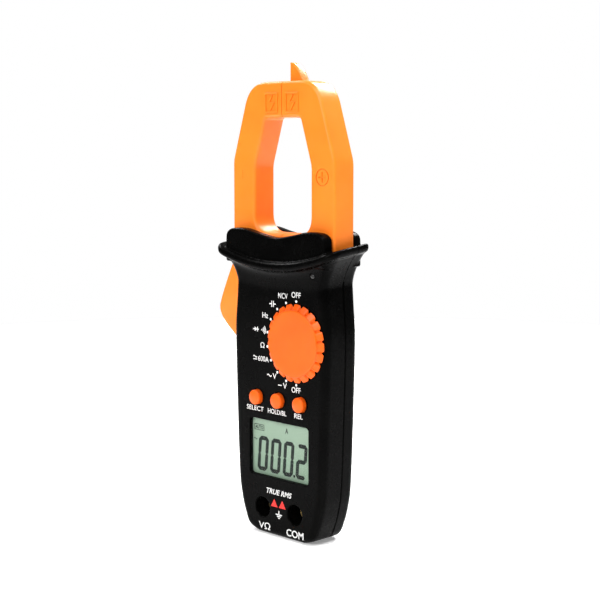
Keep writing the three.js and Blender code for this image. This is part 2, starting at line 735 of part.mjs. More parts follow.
add('main_board', mainBoard(), greenBoard());
add('measuring_chip', block(0, 12, -3.1, -1.7, 82, 94), finish(0x1b1b1e, 0.4));
add('buzzer', rod(17.6, 91, 5, -3.1, -0.4), finish(0x222222, 0.5));
add('thermistor', rod(18, 61, 3.5, -3.1, -0.3), finish(0x4c6f3f, 0.6));
add('quartz_crystal', block(2, 6, -3.1, -1.6, 96, 100), steel());

[-1, 1].forEach((side, index) => {
  const name = ['voltage', 'common'][index];
  add(`${name}_socket_sleeve`, socketSleeve(side), blackShell());
  add(`${name}_contact_tube`, contactTube(side), brass());
});

[-1, 1].forEach((side, index) => {
  add(`battery_${index + 1}`, cell(side), finish(0x3b5f7d, 0.4, 0.4));
  add(`battery_spring_${index + 1}`, cellSpring(side), steel());
  add(`battery_plate_${index + 1}`, cellPlate(side), steel());
});
add('battery_bridge', cellBridge(), steel());

export default meter;
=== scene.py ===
"""The clamp meter's visual model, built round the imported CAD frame.

Every outline is drawn in millimetres, as the meter is seen from the front: x to the right
and z up from the foot. The face looks towards -y. metres() turns a point into Blender's units.
"""
import math

import bmesh
import bpy
from mathutils import Matrix, Vector


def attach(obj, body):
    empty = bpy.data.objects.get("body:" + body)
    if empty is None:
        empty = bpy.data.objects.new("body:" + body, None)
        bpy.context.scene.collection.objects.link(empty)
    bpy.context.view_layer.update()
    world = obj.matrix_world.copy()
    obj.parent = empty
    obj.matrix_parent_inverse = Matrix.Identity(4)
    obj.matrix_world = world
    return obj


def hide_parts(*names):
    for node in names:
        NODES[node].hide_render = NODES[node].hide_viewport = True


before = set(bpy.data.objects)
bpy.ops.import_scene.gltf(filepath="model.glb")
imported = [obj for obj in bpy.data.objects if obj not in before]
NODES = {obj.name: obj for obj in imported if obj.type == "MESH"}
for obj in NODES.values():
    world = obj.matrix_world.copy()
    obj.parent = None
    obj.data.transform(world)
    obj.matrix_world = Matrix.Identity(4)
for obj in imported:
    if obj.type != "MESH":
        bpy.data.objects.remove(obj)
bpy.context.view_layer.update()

# Case
FACE = -9.5             # y of the front face
BACK = 9.5
PARTING = 2.0           # y where the two shells meet
WALL = 1.8
GAP = 0.3
SEAM_FRONT = PARTING - GAP / 2
SEAM_REAR = PARTING + GAP / 2
EDGE = 3.0              # rounding of the long edges
OVERLAP = 0.2           # how far a boss or rib runs into the shell it grows from
CASE_CURVE_TOP = 106    # height up to which the case follows its profile; the guard takes over
SKIN_VOXEL = 0.42       # fineness of the moulded skin
LEVER_SLOT = (-45, -20, -5.9, 3.3, 78.6, 117.6)     # x, y and z, each from and to
CASE_PROFILE = [        # half width and height, from the foot up to the guard
    (13.5, 0), (19, 2.2), (21.8, 7.4), (23.9, 14.3), (25.4, 24), (26.5, 50), (27.4, 84),
    (26.6, 97), (25.7, 106), (26.3, 109.6), (27.7, 113), (29.6, 116), (31.4, 118.4),
]
POCKET_FLOOR = 109.0

# Finger guard
GUARD_HALF = 34.4
GUARD_FRONT = -14.5
GUARD_TOP = 116.0       # top of the lip before it is bowed
GUARD_LIP = 3.6
GUARD_SAG = 6.5         # how far its ends stand above its middle
GUARD_RISE = 0.12       # how steeply it climbs towards the back
COLLAR_FRONT = -12.3
COLLAR_HALF = 29.0

# Jaws
JAW_FRONT = -7.2
JAW_BACK = 4.6
JAW_MIDDLE = (JAW_FRONT + JAW_BACK) / 2
JAW_HALF = 29.6
JAW_KINK = 157.3
JAW_TOP = 189.4
JAW_BOTTOM = 117.8
JAW_LEAN = 0.3134
JAW_BAND = 13.4
OPENING_TOP = 174.8
OPENING_BOTTOM = 127.5
JAW_ROUND = 1.4         # rounding of the jaws' edges
MARK = (22.9, 151.0)    # the round sign on the fixed jaw
ENGRAVED = 0.4          # depth of the signs cut into the jaws
CORE_COVER = 3.3
CORE_PLAY = 0.35    # room between the core and its tunnel
CORE_HALF_DEPTH = 3
CORE_BOTTOM = 119.7
JAW_SLOT = 0.5          # room between the jaws and their pocket
JAW_ROOM = [(JAW_FRONT - JAW_SLOT, 0), (JAW_BACK + JAW_SLOT, 0)]
PIVOT = (-20.0, 119.0)
PIN_HOLE = 1.8          # radius
JAW_OPEN = 24.0

# Dial, keys, display and sockets
DIAL = (10.6, 83.5)
DIAL_BASE = 16.2
DIAL_FACE = 13.9
DIAL_HEIGHT = 2.3
DIAL_FLUTES = 21
DIAL_HUB = 5.7
DOT_RING = 17.2
WINDOW = (-17.3, 17.3, 25.2, 49.2)      # x from and to, z from and to
KEY_Z = 58.4
KEY_PITCH = 12.8
KEY_RADIUS = 3.15
KEY_PROUD = 2.2
SOCKET_X = 9.5
SOCKET_Z = 11.6
SOCKET_WELL = 4.3
TUBE_FRONT = -3.6       # y where the contact tube starts, down in its well
SCREWS = [(-18.5, 17.5), (18.5, 17.5), (-20.5, 69), (20, 102.5)]
SCREW_SEAT = 6.7        # y of the front of a screw's head, and of its tip
SCREW_TIP = -4.2
SCREW_SHANK = 1.1       # radii of a screw, and of the holes and the boss round it
SCREW_HEAD = 2.4
SCREW_HOLE = 1.4
HEAD_HOLE = 2.7
BOSS = 2.9
BAY_HALF = 11.3
BAY_LOW = 17.2
BAY_HIGH = 74.0
COVER_SCREW_Z = 70.6
LED = (20.3, 111.7)
LED_HOLE = 1.25

PRINT = 0.04            # thickness of the printed lettering
SUNK = 0.02             # how far it reaches into the face
PRINTED = [(FACE - PRINT + SUNK, 0), (FACE + SUNK, 0)]
LCD_FRONT = -7.4
LCD_PRINTED = [(LCD_FRONT - 0.05, 0), (LCD_FRONT + SUNK, 0)]


# Outlines ----------------------------------------------------------------------------

def metres(x, y, z):
    return Vector((x, y, z)) / 1000


def spline(keys, steps):
    """Points on a smooth curve through the keys."""
    points = []
    for step in range(steps + 1):
        place = step / steps * (len(keys) - 1)
        index = min(int(place), len(keys) - 2)
        t = place - index
        a = keys[max(index - 1, 0)]
        b = keys[index]
        c = keys[index + 1]
        d = keys[min(index + 2, len(keys) - 1)]
        points.append(tuple(
            0.5 * (2 * q + (r - p) * t + (2 * p - 5 * q + 4 * r - s) * t ** 2
                   + (3 * q - p - 3 * r + s) * t ** 3)
            for p, q, r, s in zip(a, b, c, d)
        ))
    return points


def rounded(corners, lengths, steps=10):
    """A closed outline through the corners, each rounded by its own length."""
    if not isinstance(lengths, list):
        lengths = [lengths] * len(corners)
    outline = []
    for index, (corner, length) in enumerate(zip(corners, lengths)):
        here = Vector(corner)
        before = Vector(corners[index - 1])
        after = Vector(corners[(index + 1) % len(corners)])
        if length == 0:
            outline.append(corner)
            continue
        enter = here + (before - here).normalized() * length
        leave = here + (after - here).normalized() * length
        for step in range(steps + 1):
            t = step / steps
            point = enter * (1 - t) ** 2 + here * 2 * t * (1 - t) + leave * t ** 2
            outline.append(tuple(point))
    return outline


def rectangle(x0, x1, z0, z1, round_by=0):
    return rounded([(x0, z0), (x1, z0), (x1, z1), (x0, z1)], round_by)


def circle(centre, radius, sides=64):
    turns = [2 * math.pi * side / sides for side in range(sides)]
    return [(centre[0] + radius * math.cos(t), centre[1] + radius * math.sin(t)) for t in turns]


def arc(centre, radius, start, end, steps=12):
    turns = [math.radians(start + (end - start) * step / steps) for step in range(steps + 1)]
    return [(centre[0] + radius * math.cos(t), centre[1] + radius * math.sin(t)) for t in turns]


def mirrored(right):
    """A whole outline from its right half, given from the bottom up."""
    return right + [(-x, z) for x, z in reversed(right)]


def without_repeats(outline, nearest=0.02):
    kept = []
    for point in outline:
        if not kept or (Vector(point) - Vector(kept[-1])).length > nearest:
            kept.append(point)
    if (Vector(kept[0]) - Vector(kept[-1])).length < nearest:
        kept.pop()
    return kept


def mitre(first, second, least):
    """The unit direction to the left of a corner, and its reach along the left of one edge."""
    normal = Vector((-first.y - second.y, first.x + second.x)).normalized()
    return normal, max(normal.dot(Vector((-first.y, first.x))), least)


def drawn_in(outline, distance):
    """The outline moved inwards by a distance, or outwards if it is negative."""
    if distance == 0:
        return outline
    moved = []
    count = len(outline)
    for index in range(count):
        before = Vector(outline[index - 1])
        here = Vector(outline[index])
        after = Vector(outline[(index + 1) % count])
        first = (here - before).normalized()
        second = (after - here).normalized()
        inward, reach = mitre(first, second, 0.35)
        moved.append(tuple(here + inward * (distance / reach)))
    return moved


# Meshes ------------------------------------------------------------------------------

def piece(name, data):
    """A new object in the scene, for a mesh, curve, light or camera."""
    made = bpy.data.objects.new(name, data)
    bpy.context.scene.collection.objects.link(made)
    return made


def discard(made):
    mesh = made.data
    bpy.data.objects.remove(made)
    bpy.data.meshes.remove(mesh)


def closed(name, rings, welded=False):
    """A closed solid over rings of equal length: capped, or welded from last to first."""
    build = bmesh.new()
    rows = [[build.verts.new(metres(*point)) for point in ring] for ring in rings]
    pairs = list(zip(rows, rows[1:]))
    if welded:
        pairs.append((rows[-1], rows[0]))
    for lower, upper in pairs:
        for index in range(len(lower)):
            following = (index + 1) % len(lower)
            build.faces.new((lower[index], upper[index], upper[following], lower[following]))
    if not welded:
        build.faces.new(rows[0])
        build.faces.new(list(reversed(rows[-1])))
    bmesh.ops.recalc_face_normals(build, faces=build.faces)
    mesh = bpy.data.meshes.new(name)
    build.to_mesh(mesh)
    build.free()
    return piece(name, mesh)


def slab(name, outline, layers):
    """An outline made thick: each layer gives its y and how far the outline is drawn in."""
    outline = without_repeats(outline)
    rings = [[(x, y, z) for x, z in drawn_in(outline, inset)] for y, inset in layers]
    return closed(name, rings)


def quarter_turn(round_by, steps):
    """A rounded edge in steps: what is left to go on one face, and what is gone on the other."""
    turns = [math.pi / 2 * step / steps for step in range(steps + 1)]
    return [(round_by * (1 - math.sin(t)), round_by * (1 - math.cos(t))) for t in turns]


def edge_layers(front, rear, round_by, steps=6):
    """Layers of a slab whose front and rear edges are rounded."""
    quarter = quarter_turn(round_by, steps)
    return (
        [(front + depth, inset) for depth, inset in reversed(quarter)]
        + [(rear - depth, inset) for depth, inset in quarter]
    )


def mouth_layers(front, rear, round_by, steps=6):
    """Layers of a cutter that leaves a rounded edge where it breaks both faces."""
    beyond = 1.0
    quarter = quarter_turn(round_by, steps)
    return (
        [(front - beyond, -round_by)]
        + [(front + depth, -outset) for outset, depth in quarter]
        + [(rear - depth, -outset) for outset, depth in reversed(quarter)]
        + [(rear + beyond, -round_by)]
    )


def turned(name, profile, centre, sides=64, welded=False):
    """A turned solid along y: the profile gives radius and y."""
    rings = [[(x, y, z) for x, z in circle(centre, radius, sides)] for radius, y in profile]
    return closed(name, rings, welded)


def block(name, x0, x1, y0, y1, z0, z1):
    outline = [(x0, z0), (x1, z0), (x1, z1), (x0, z1)]
    return slab(name, outline, [(y0, 0), (y1, 0)])


def rod(name, centre, radius, front, rear, sides=48):
    return slab(name, circle(centre, radius, sides), [(front, 0), (rear, 0)])


def cross(centre, reach, half, layers):
    """Two bars that cross at a point."""
    x, z = centre
    return [
        slab("bar", rectangle(x - a, x + a, z - b, z + b), layers)
        for a, b in ((reach, half), (half, reach))
    ]


def settled(made):
    """Turns an object's modifiers into its mesh."""
    bpy.context.view_layer.update()
    shown = made.evaluated_get(bpy.context.evaluated_depsgraph_get())
    old = made.data
    made.data = bpy.data.meshes.new_from_object(shown)
    made.modifiers.clear()
    bpy.data.meshes.remove(old)
    return made


def boolean(operation, base, others):
    for other in others:
        modifier = base.modifiers.new(operation, "BOOLEAN")
        modifier.operation = operation
        modifier.solver = "MANIFOLD"
        modifier.object = other
    settled(base)
    for other in others:
        discard(other)
    return base


def cut(base, *others):
    return boolean("DIFFERENCE", base, others)


def join(base, *others):
    return boolean("UNION", base, others)


def common(base, *others):
    return boolean("INTERSECT", base, others)


def moulded(made, passes):
    """Melts a union of solids into one skin with soft inner and outer corners."""
    remesh = made.modifiers.new("skin", "REMESH")
    remesh.mode = "VOXEL"
    remesh.voxel_size = SKIN_VOXEL / 1000
    smooth = made.modifiers.new("soften", "SMOOTH")
    smooth.factor = 0.5
    smooth.iterations = passes
    return settled(made)


def smooth_faces(made, degrees):
    """Shades the mesh smooth, except across its sharper edges."""
    mesh = made.data
    mesh.polygons.foreach_set("use_smooth", [True] * len(mesh.polygons))
    mesh.set_sharp_from_angle(angle=math.radians(degrees))


# Materials ---------------------------------------------------------------------------

class Finish:
    """A node material with one Principled shader, and short calls for its textures."""

    def __init__(self, name):
        self.material = bpy.data.materials.new(name)
        self.material.use_nodes = True
        self.tree = self.material.node_tree
        self.shader = self.tree.nodes["Principled BSDF"]
        self.place = self.add("ShaderNodeTexCoord").outputs["Object"]

    def add(self, kind):
        return self.tree.nodes.new(kind)

    def link(self, source, target):
        self.tree.links.new(source, target)

    def set(self, **values):
        for name, value in values.items():
            self.shader.inputs[name.replace("_", " ")].default_value = value

    def noise(self, size, detail=3.0, roughness=0.5):
        """Noise whose features are about this many millimetres wide."""
        node = self.add("ShaderNodeTexNoise")
        node.inputs["Scale"].default_value = 1000 / size
        node.inputs["Detail"].default_value = detail
        node.inputs["Roughness"].default_value = roughness
        self.link(self.place, node.inputs["Vector"])
        return node.outputs["Fac"]

    def ramp(self, source, *stops):
        """Colours or greys spread over a value: each stop is a place and a colour."""
        node = self.add("ShaderNodeValToRGB")
        ramp = node.color_ramp
        while len(ramp.elements) < len(stops):
            ramp.elements.new(0.5)
        for element, (place, colour) in zip(ramp.elements, stops):
            element.position = place
            if isinstance(colour, (int, float)):
                colour = (colour, colour, colour)
            element.color = (*colour, 1)
        self.link(source, node.inputs["Fac"])
        return node.outputs["Color"]

    def bump(self, height, strength, depth):
        """Raises the surface by a height texture, up to a depth in millimetres."""
        node = self.add("ShaderNodeBump")
        node.inputs["Strength"].default_value = strength
        node.inputs["Distance"].default_value = depth / 1000
        self.link(height, node.inputs["Height"])
        self.link(node.outputs["Normal"], self.shader.inputs["Normal"])

    def colour(self, source):
        self.link(source, self.shader.inputs["Base Color"])

    def roughness(self, size, detail, smooth, rough, texture=0.5):
        """Lets the roughness vary with noise, between two stops of a ramp."""
        source = self.ramp(self.noise(size, detail, texture), smooth, rough)
        self.link(source, self.shader.inputs["Roughness"])


def moulded_plastic(name, dark, light, grain, rough, specular):
    """Injection-moulded plastic: spark-eroded grain and faint flow marks."""
    finish = Finish(name)
    flow = finish.noise(14, 2)
    finish.colour(finish.ramp(flow, (0.35, dark), (0.65, light)))
    finish.roughness(5, 4, (0.3, rough[0]), (0.7, rough[1]))
    finish.bump(finish.noise(grain, 2, 0.6), 0.35, 0.02)
    finish.set(Specular_IOR_Level=specular)
    return finish.material


def printed(name, colour, worn):
    """Screen-printed ink, slightly uneven."""
    finish = Finish(name)
    finish.colour(finish.ramp(finish.noise(0.8, 3), (0.35, worn), (0.6, colour)))
    finish.roughness(2, 2, (0.3, 0.5), (0.7, 0.62))
    finish.set(Specular_IOR_Level=0.3)
    return finish.material


def metal(name, colour, worn, rough):
    finish = Finish(name)
    marks = finish.noise(3, 4)
    finish.colour(finish.ramp(marks, (0.3, worn), (0.7, colour)))
    finish.roughness(1.2, 3, (0.3, rough), (0.7, rough + 0.12))
    finish.bump(finish.noise(0.25, 2), 0.25, 0.01)
    finish.set(Metallic=1.0)
    return finish.material


def liquid_crystal_with_painted_shade():
    """The reflective rear of the display: grey green, with painted shade that makes it a little
    darker at its foot.
    """
    finish = Finish("display")
    parts = finish.add("ShaderNodeSeparateXYZ")
    finish.link(finish.place, parts.inputs["Vector"])
    height = finish.add("ShaderNodeMapRange")
    height.inputs["From Min"].default_value = WINDOW[2] / 1000
    height.inputs["From Max"].default_value = WINDOW[3] / 1000
    finish.link(parts.outputs["Z"], height.inputs["Value"])
    # painted shade: the grey green darkens from the top of the window down to its foot
    foot, top = (0.25, 0.36, 0.26), (0.33, 0.45, 0.34)
    base = finish.ramp(height.outputs["Result"], (0, foot), (1, top))
    speckle = finish.ramp(finish.noise(0.3, 2), (0.3, 0.93), (0.7, 1.0))
    tint = finish.add("ShaderNodeMix")
    tint.data_type = "RGBA"
    tint.blend_type = "MULTIPLY"
    tint.inputs[0].default_value = 1
    finish.link(base, tint.inputs[6])
    finish.link(speckle, tint.inputs[7])
    finish.colour(tint.outputs[2])
    finish.roughness(4, 2, (0.3, 0.45), (0.7, 0.55))
    finish.set(Specular_IOR_Level=0.2)
    return finish.material


def clear_window():
    """Moulded clear acrylic, thin and slightly scratched."""
    finish = Finish("window")
    dark, light = (0.03, 0.035, 0.03), (0.05, 0.06, 0.05)
    finish.colour(finish.ramp(finish.noise(6, 2), (0.3, dark), (0.7, light)))
    finish.roughness(2.5, 5, (0.4, 0.05), (0.75, 0.12), texture=0.7)
    finish.set(Alpha=0.05, Specular_IOR_Level=0.15)
    return finish.material


def plain_plastic(name, colour, light, rough):
    finish = Finish(name)
    finish.colour(finish.ramp(finish.noise(6, 3), (0.35, colour), (0.65, light)))
    finish.roughness(3, 3, (0.3, rough), (0.7, rough + 0.1))
    finish.bump(finish.noise(0.4, 2), 0.3, 0.015)
    return finish.material


def circuit_board():
    """Green solder mask, with the faint grid of copper tracks below it."""
    finish = Finish("board")
    tracks = finish.add("ShaderNodeTexBrick")
    finish.link(finish.place, tracks.inputs["Vector"])
    tracks.inputs["Scale"].default_value = 160
    tracks.inputs["Color1"].default_value = (0.012, 0.10, 0.035, 1)
    tracks.inputs["Color2"].default_value = (0.018, 0.14, 0.05, 1)
    tracks.inputs["Mortar"].default_value = (0.03, 0.20, 0.075, 1)
    finish.colour(tracks.outputs["Color"])
    finish.roughness(2, 3, (0.3, 0.3), (0.7, 0.42))
    finish.bump(tracks.outputs["Fac"], 0.3, 0.03)
    return finish.material


def core_iron():
    """Stacked laminations of iron, seen as fine lines along the core."""
    finish = Finish("core_iron")
    layers = finish.add("ShaderNodeTexWave")
    layers.bands_direction = "Y"
    layers.inputs["Scale"].default_value = 600
    layers.inputs["Distortion"].default_value = 0.6
    finish.link(finish.place, layers.inputs["Vector"])
    finish.colour(finish.ramp(layers.outputs["Fac"], (0.2, 0.10), (0.8, 0.24)))
    finish.roughness(2, 3, (0.3, 0.35), (0.7, 0.5))
    finish.bump(layers.outputs["Fac"], 0.4, 0.03)
    finish.set(Metallic=0.8)
    return finish.material


BLACK = moulded_plastic(
    "black_shell", (0.0010, 0.0010, 0.0010), (0.0019, 0.0019, 0.0018), 0.35, (0.22, 0.30), 0.025,
)
ORANGE = moulded_plastic(
    "orange_shell", (0.93, 0.205, 0.013), (0.96, 0.225, 0.017), 0.4, (0.32, 0.42), 0.32,
)
KNOB_ORANGE = moulded_plastic(
    "orange_knob", (0.86, 0.103, 0.003), (0.90, 0.118, 0.005), 0.3, (0.34, 0.44), 0.22,
)
WHITE_PRINT = printed("white_print", (0.86, 0.86, 0.85), (0.66, 0.66, 0.65))
RED_PRINT = printed("red_print", (0.80, 0.03, 0.02), (0.62, 0.02, 0.02))
LCD_SEGMENT = printed("lcd_segment", (0.004, 0.009, 0.007), (0.006, 0.012, 0.009))
STEEL = metal("steel", (0.62, 0.63, 0.64), (0.48, 0.49, 0.50), 0.22)
BRASS = metal("brass", (0.80, 0.58, 0.24), (0.62, 0.42, 0.16), 0.25)
CORE = core_iron()
DISPLAY = liquid_crystal_with_painted_shade()
WINDOW_CLEAR = clear_window()
BOARD = circuit_board()
DARK = plain_plastic("dark_plastic", (0.010, 0.010, 0.011), (0.018, 0.018, 0.018), 0.45)
SMOKED = plain_plastic("smoked_lens", (0.008, 0.008, 0.008), (0.014, 0.014, 0.014), 0.2)
WHITE = plain_plastic("white_plastic", (0.70, 0.69, 0.65), (0.78, 0.77, 0.73), 0.4)
RUBBER = plain_plastic("grey_rubber", (0.11, 0.11, 0.11), (0.16, 0.16, 0.155), 0.65)
SLEEVE = plain_plastic("cell_sleeve", (0.02, 0.06, 0.13), (0.03, 0.09, 0.18), 0.28)


def dressed(made, body, slot, material, *replaced, angle=32):
    """Gives a finished piece its material and its body, and hides the nodes it stands for. The slot
    argument is not used.
    """
    made.data.materials.clear()
    made.data.materials.append(material)
    smooth_faces(made, angle)
    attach(made, body)
    if replaced:
        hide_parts(*replaced)


# Case --------------------------------------------------------------------------------

def case_outline(inset, top):
    """The case seen from the front: its profile up to the guard, then straight up."""
    keys = [(w - inset, max(z, inset)) for w, z in CASE_PROFILE if z <= CASE_CURVE_TOP]
    right = spline(keys, 72)
    right.append((right[-1][0], top))
    return mirrored(right)


def plan_ring(height, half, front, corner):
    """The guard cut level, before it is bowed: a rounded rectangle seen from above."""
    rear_corner = 3.0
    corners = [
        (half, BACK, rear_corner, 0), (-half, BACK, rear_corner, 90),
        (-half, front, corner, 180), (half, front, corner, 270),
    ]
    ring = []
    for x, y, radius, start in corners:
        centre = (x - math.copysign(radius, x), y - math.copysign(radius, y))
        ring += [(a, b, height) for a, b in arc(centre, radius, start, start + 90, 10)]
    return ring


def case_half(z):
    """Half the case's width at a height."""
    line = spline([key for key in CASE_PROFILE if key[1] <= CASE_CURVE_TOP], 200)
    return min(line, key=lambda point: abs(point[1] - z))[0]


def guard_flare():
    """The case's top, swept out to the lip. Keys: height, half width, front, corner."""
    straight = [(z, case_half(z), FACE, EDGE) for z in (97, 99, 101, 103)]
    swept = [
        (105, 25.9, -9.55, 3.1), (107, 26.8, -9.8, 3.3), (109, 28.4, -10.2, 3.7),
        (110.5, 30.0, -10.9, 4.2), (111.5, 31.2, -11.7, 4.7), (112.3, 31.9, -12.3, 5.0),
        (113, 32.1, -12.5, 5.0),
    ]
    return closed("guard", [plan_ring(*key) for key in spline(straight + swept, 60)])


def guard_bar():
    """The lip itself: a level bar with rolled edges all round the top of the case."""
    rolled = edge_layers(GUARD_TOP - GUARD_LIP, GUARD_TOP, 1.4)
    return closed("bar", [
        plan_ring(z, GUARD_HALF - inset, GUARD_FRONT + inset, 5.2 - inset) for z, inset in rolled
    ])


def bowed(made):
    """Lifts the guard's ends and rear; the case below it stays straight."""
    foot, full = 98, 112
    for vertex in made.data.vertices:
        x, y, z = vertex.co * 1000
        part = min(max((z - foot) / (full - foot), 0), 1)
        part = part * part * (3 - 2 * part)
        lift = GUARD_SAG * (x / GUARD_HALF) ** 2 + GUARD_RISE * (y - GUARD_FRONT)
        vertex.co.z += part * lift / 1000
    return made


def collar(front, rear):
    """A raised lip in front of the jaw root or behind it."""
    crest = [(COLLAR_HALF, 124.5), (28.3, 127.4), (25, 129.1), (18, 129.2), (10, 127.6)]
    line = crest + [(0, 126.2)] + [(-x, z) for x, z in reversed(crest)]
    outline = [(-COLLAR_HALF, 115), (COLLAR_HALF, 115)] + spline(line, 72)
    return slab("collar", outline, edge_layers(front, rear, 1.0, 4))


def jaw_pocket():
    """Room for the jaw roots, open at the top."""
    right = [(24, POCKET_FLOOR), (26, 113.5), (28, 116.3), (29.9, 118.6), (29.9, 140)]
    return slab("jaw_pocket", mirrored(right), JAW_ROOM)


def swing_room(angle):
    """Room for the moving jaw's side at one angle of its swing."""
    side = slab("swing_room", jaw_loop(-JAW_SLOT), JAW_ROOM)
    common(side, block("left", -60, -2, -20, 20, 100, 140))
    centre = metres(PIVOT[0], 0, PIVOT[1])
    swing = Matrix.Rotation(math.radians(-angle), 4, "Y")
    side.data.transform(Matrix.Translation(centre) @ swing @ Matrix.Translation(-centre))
    return side


def outer_skin():
    """The closed outside of the case, moulded into one body."""
    body = slab("body", case_outline(0, 130), edge_layers(FACE, BACK, EDGE, 10))
    common(body, block("below", -60, 60, -40, 40, -5, 103))
    bowed(moulded(join(body, guard_flare(), guard_bar()), 0))
    join(body, collar(COLLAR_FRONT, JAW_FRONT - 0.1), collar(JAW_BACK + 0.1, BACK))
    return moulded(body, 4)


def hollow_case():
    """The skin with its cavity, the room for the jaws, and the lever's slot."""
    skin = outer_skin()
    cavity = slab(
        "cavity", case_outline(WALL, POCKET_FLOOR + 1), [(FACE + WALL, 0), (BACK - WALL, 0)],
    )
    lever_slot = block("lever_slot", *LEVER_SLOT)
    pins = rod("pins", PIVOT, PIN_HOLE, JAW_FRONT - 4.2, JAW_BACK + 3.6)
    rooms = [swing_room(part * JAW_OPEN) for part in (0.25, 0.5, 0.75, 1)]
    return cut(skin, cavity, jaw_pocket(), lever_slot, pins, *rooms)


def parting_groove(side):
    """The fine chamfer along a shell's parting line: side is -1 in front and 1 behind."""
    depth = 0.35
    near = PARTING + side * GAP / 2
    far = near + side * depth
    ring = slab("groove", case_outline(-3, POCKET_FLOOR), sorted([(near, 0), (far, 0)]))
    inner = slab(
        "groove_inner", case_outline(0, POCKET_FLOOR + 1), sorted([(near, depth), (far, 0)]),
    )
    return cut(ring, inner)


def front_case(whole):
    case = common(whole, block("front", -60, 60, -40, SEAM_FRONT, -5, 150))
    join(case, *[rod("boss", at, BOSS, FACE + WALL - OVERLAP, SEAM_FRONT) for at in SCREWS])
    pilots = [rod("pilot", at, SCREW_HOLE, -5.5, 3) for at in SCREWS]
    inside = FACE + WALL + 1
    holes = [
        slab(
            "key_hole", circle((side * KEY_PITCH, KEY_Z), KEY_RADIUS + GAP),
            mouth_layers(FACE, inside, 0.35),
        ) for side in (-1, 0, 1)
    ]
    wells = [
        slab(
            "well", circle((side * SOCKET_X, SOCKET_Z), SOCKET_WELL, 72),
            mouth_layers(FACE, inside, 0.5),
        ) for side in (-1, 1)
    ]
    view = slab("view", rectangle(*WINDOW, 1.8), mouth_layers(FACE, inside, 0.4))
    hub = rod("hub", DIAL, DIAL_HUB + GAP + 0.1, FACE - 1, inside)
    led = rod("led", LED, LED_HOLE, -20, -7)
    cut(case, parting_groove(-1), *pilots, *holes, *wells, view, hub, led)
    case.name = "front_shell"
    dressed(case, "case", "black_shell", BLACK, "front_case")


def rear_case(whole):
    case = common(whole, block("rear", -60, 60, SEAM_REAR, 40, -5, 150))
    floor = BACK - WALL
    rooted = floor + OVERLAP
    reach = BAY_HALF + OVERLAP
    top = BAY_HIGH + 1
    rib, rib_front = 1.2, -2.4
    bridge_foot = 68.4
    head_seat = 6.4
    bosses = [rod("boss", at, BOSS, SEAM_REAR, rooted) for at in SCREWS]
    ribs = [
        block(
            "rib", *sorted([side * BAY_HALF, side * (BAY_HALF + rib)]), rib_front, rooted,
            BAY_LOW, top,
        ) for side in (-1, 1)
    ]
    bridge = block("bridge", -reach, reach, SEAM_REAR, floor - GAP, bridge_foot, top)
    sill = block("sill", -reach, reach, floor - 1, rooted, BAY_HIGH + 0.2, top)
    join(case, *bosses, *ribs, bridge, sill)
    heads = [
        slab("head", circle(at, HEAD_HOLE), mouth_layers(head_seat, BACK, 0.3)) for at in SCREWS
    ]
    holes = [rod("hole", at, SCREW_HOLE, 0, BACK) for at in SCREWS]
    bay = slab(
        "bay", rectangle(-BAY_HALF, BAY_HALF, BAY_LOW, BAY_HIGH, 1.2),
        mouth_layers(floor - GAP, BACK, 0.25),
    )
    cover_hole = rod("cover_hole", (0, COVER_SCREW_Z), SCREW_HOLE, 2.8, BACK)
    cut(case, parting_groove(1), *heads, *holes, bay, cover_hole)
    case.name = "rear_shell"
    dressed(case, "case", "black_shell", BLACK, "rear_case")


def battery_cover():
    cover = slab(
        "battery_door",
        rectangle(-BAY_HALF + GAP, BAY_HALF - GAP, BAY_LOW + GAP, BAY_HIGH - GAP, 1.2),
        [(BACK - WALL, 0)] + edge_layers(BACK - 1, BACK, 0.35, 4)[-5:],
    )
    grips = [
        slab("grip", rectangle(-5, 5, low, low + 1.2, 0.55), [(BACK - 0.6, 0.3), (BACK + 0.3, -0.1)])
        for low in (24, 26.4, 28.8)
    ]
    arrow = slab(
        "arrow", [(-2.2, 33.4), (2.2, 33.4), (0, 31.2)], [(BACK - 0.3, 0.1), (BACK + 0.3, 0)],
    )
    hole = rod("hole", (0, COVER_SCREW_Z), SCREW_HOLE, 0, BACK + 1)
    seat = slab(
        "seat", circle((0, COVER_SCREW_Z), HEAD_HOLE),
        [(BACK - 1.2, 0), (BACK - 0.3, 0), (BACK, -0.25), (BACK + 1, -0.25)],
    )
    cut(cover, *grips, arrow, hole, seat)
    dressed(cover, "case", "black_shell", BLACK, "battery_cover")


def screw(name, at, head_front, head_rear, tip, node):
    """A pan-head screw driven from the rear, with a cross slot."""
    pitch = 0.5
    thread = 0.16
    profile = [(SCREW_SHANK * 0.5, tip), (SCREW_SHANK, tip + 1.2)]
    level = tip + 1.4
    while level < head_front - pitch:
        profile += [(SCREW_SHANK, level), (SCREW_SHANK - thread, level + pitch / 2)]
        level += pitch
    profile += [
        (SCREW_SHANK, head_front), (SCREW_HEAD - 0.15, head_front),
        (SCREW_HEAD, head_front + 0.15), (SCREW_HEAD, head_rear - 0.5),
        (SCREW_HEAD - 0.18, head_rear - 0.18), (SCREW_HEAD - 0.6, head_rear),
    ]
    made = turned(name, profile, at, 48)
    cut(made, *cross(at, 1.3, 0.33, [(head_rear - 0.7, 0.12), (head_rear + 0.5, 0)]))
    dressed(made, "case", "steel", STEEL, node)


# Jaws --------------------------------------------------------------------------------

def jaw_loop(inset, top=None, bottom=None, round_by=9.5):
    """The six-sided loop of the jaws, drawn in from their outer surface."""
    top = JAW_TOP - inset if top is None else top
    bottom = JAW_BOTTOM + inset if bottom is None else bottom
    half = JAW_HALF - inset
    kink = JAW_KINK - inset * math.tan(math.atan(JAW_LEAN) / 2)
    shoulder = half - (top - kink) * JAW_LEAN
    root = 8 if inset > 10 else 6
    return rounded([
        (-half, bottom), (half, bottom), (half, kink),
        (shoulder, top), (-shoulder, top), (-half, kink),
    ], [root, root, 2, round_by, round_by, 2], 16)


